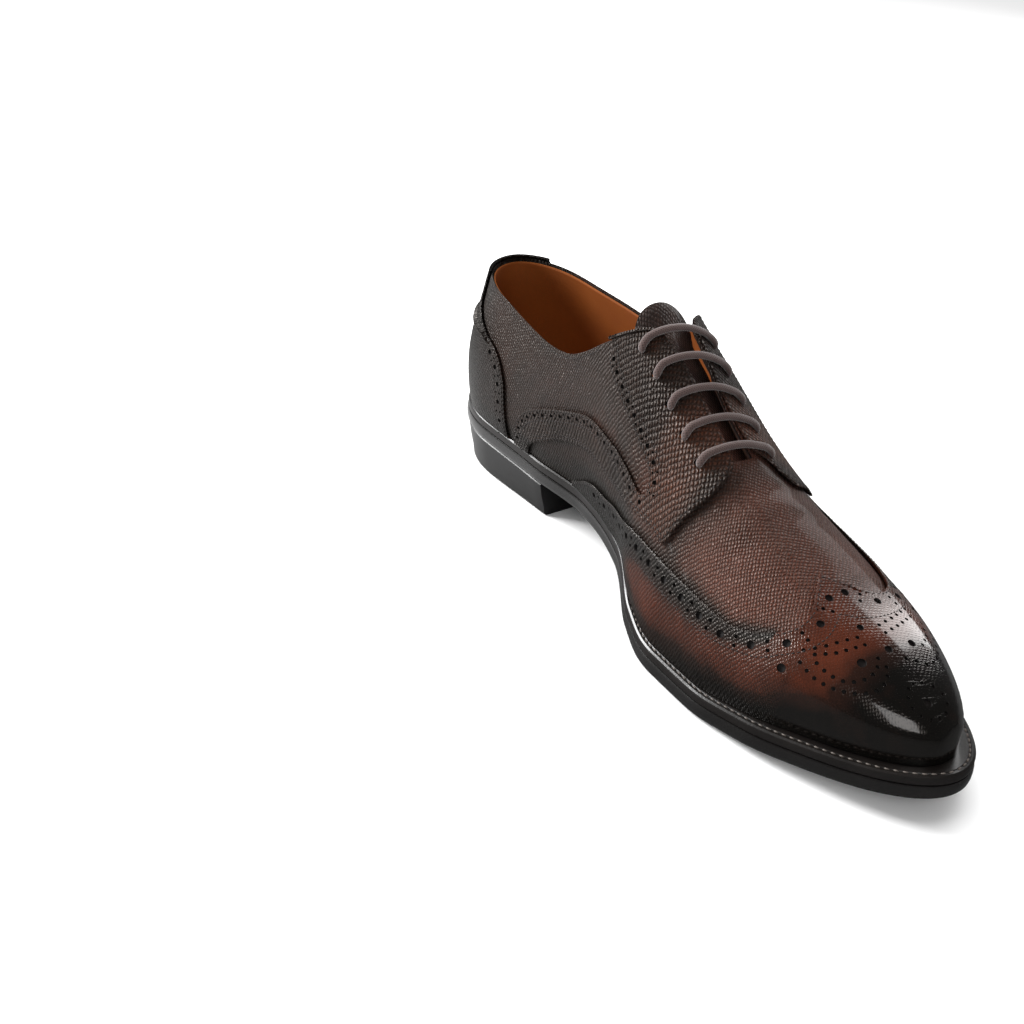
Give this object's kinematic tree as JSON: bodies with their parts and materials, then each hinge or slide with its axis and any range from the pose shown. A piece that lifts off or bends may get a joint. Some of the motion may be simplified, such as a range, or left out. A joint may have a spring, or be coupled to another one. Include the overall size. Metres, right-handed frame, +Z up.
{
  "type": "wing-tip brogue derby shoe",
  "caption": "Left men's wing-tip brogue derby shoe: hollow leather upper, open lacing, welted sole with toe spring and a low block heel.",
  "frame": {"origin": "middle of the heel's tread, on the floor", "axes": "+Z up, toe towards -Y, outer side towards +X"},
  "size_m": [0.105, 0.3124, 0.1173],
  "materials": {
    "sole": "black edge dressing, satin",
    "lining": "tan lining leather, matt",
    "upper": "hatch-grained dark brown leather, semi-gloss",
    "cap": "burnished near-black brown leather, polished",
    "facing": "hatch-grained dark brown leather, semi-gloss",
    "lace": "woven dark taupe lace, matt"
  },
  "bodies": {
    "root": {"outsole": "sole", "heel": "sole", "welt": "sole", "insole": "lining", "upper": "upper", "tongue": "upper", "wing_cap": "cap", "heel_counter": "cap", "facing_inner": "facing", "facing_outer": "facing", "laces": "lace"}
  },
  "joints": []
}
